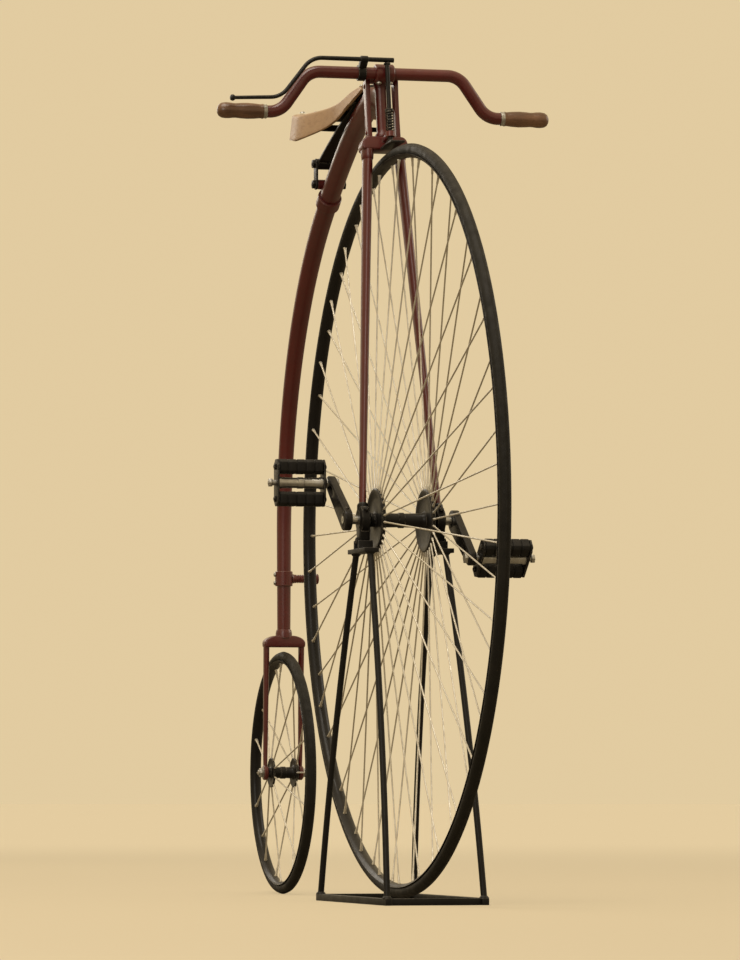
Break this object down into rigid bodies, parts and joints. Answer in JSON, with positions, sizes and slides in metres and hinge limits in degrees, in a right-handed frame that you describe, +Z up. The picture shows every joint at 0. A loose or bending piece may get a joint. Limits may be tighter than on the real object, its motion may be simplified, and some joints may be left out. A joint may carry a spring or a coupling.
{
  "type": "penny farthing bicycle on a display stand",
  "caption": "High-wheel bicycle with a curved backbone, solid tyres, front cranks and a leather saddle, its fork ends held by a black rod stand.",
  "frame": {"origin": "on the floor, under the middle of the bicycle's length and width", "axes": "+X forward, +Y to the rider's left, +Z up"},
  "size_m": [1.736, 0.61, 1.4951],
  "materials": {
    "maroon_enamel": "dark red stoved enamel, glossy, lightly worn",
    "black_enamel": "black stoved enamel with a soft gloss",
    "bright_steel": "turned steel with old nickel plating",
    "tyre_rubber": "solid black rubber, matt and greyed",
    "pedal_rubber": "moulded black rubber, matt and dusty",
    "turned_wood": "turned and waxed brown wood",
    "saddle_leather": "thick tan saddle leather, creased, darker at its edges",
    "stand_black": "black painted steel rod, satin"
  },
  "bodies": {
    "fork": {"fork_head": "maroon_enamel", "head_bolt": "bright_steel", "bar_lug": "maroon_enamel", "handlebar": "maroon_enamel", "brake_plunger": "black_enamel", "brake_lever": "black_enamel", "fork_blades": "maroon_enamel", "bearings": "black_enamel", "grips": "turned_wood", "stand_cradles": "stand_black", "stand_legs": "stand_black", "stand_rails": "stand_black", "stand_ties": "stand_black"},
    "backbone": {"backbone": "maroon_enamel", "neck": "maroon_enamel", "rear_fork_crown": "maroon_enamel", "rear_fork_blades": "maroon_enamel", "rear_axle": "bright_steel", "mounting_step": "maroon_enamel", "leaf_spring": "black_enamel", "spring_clip": "maroon_enamel", "spring_shackle": "black_enamel", "saddle_leather": "saddle_leather", "saddle_frame": "black_enamel"},
    "front_wheel": {"front_tyre": "tyre_rubber", "front_rim": "black_enamel", "front_hub_spokes": "black_enamel", "front_axle": "bright_steel", "cranks": "black_enamel", "pedal_pins": "bright_steel"},
    "rear_wheel": {"rear_tyre": "tyre_rubber", "rear_rim": "black_enamel", "rear_hub_spokes": "black_enamel"},
    "pedal_left": {"pedal_cage_left": "black_enamel", "pedal_rubbers_left": "pedal_rubber"},
    "pedal_right": {"pedal_cage_right": "black_enamel", "pedal_rubbers_right": "pedal_rubber"}
  },
  "joints": [
    {"name": "steering", "type": "hinge", "parent": "fork", "child": "backbone", "pos_m": [0.0795, 0, 1.39676], "axis": [-0.1736, 0, 0.9848], "range_deg": [-35, 35]},
    {"name": "front_spin", "type": "hinge", "parent": "fork", "child": "front_wheel", "pos_m": [0.208, 0, 0.668], "axis": [0, 1, 0], "continuous": true},
    {"name": "rear_spin", "type": "hinge", "parent": "backbone", "child": "rear_wheel", "pos_m": [-0.639, 0, 0.229], "axis": [0, 1, 0], "continuous": true},
    {"name": "pedal_left_spin", "type": "hinge", "parent": "front_wheel", "child": "pedal_left", "pos_m": [0.31451, 0.155, 0.59883], "axis": [0, 1, 0], "continuous": true},
    {"name": "pedal_right_spin", "type": "hinge", "parent": "front_wheel", "child": "pedal_right", "pos_m": [0.10149, -0.155, 0.73717], "axis": [0, 1, 0], "continuous": true}
  ]
}
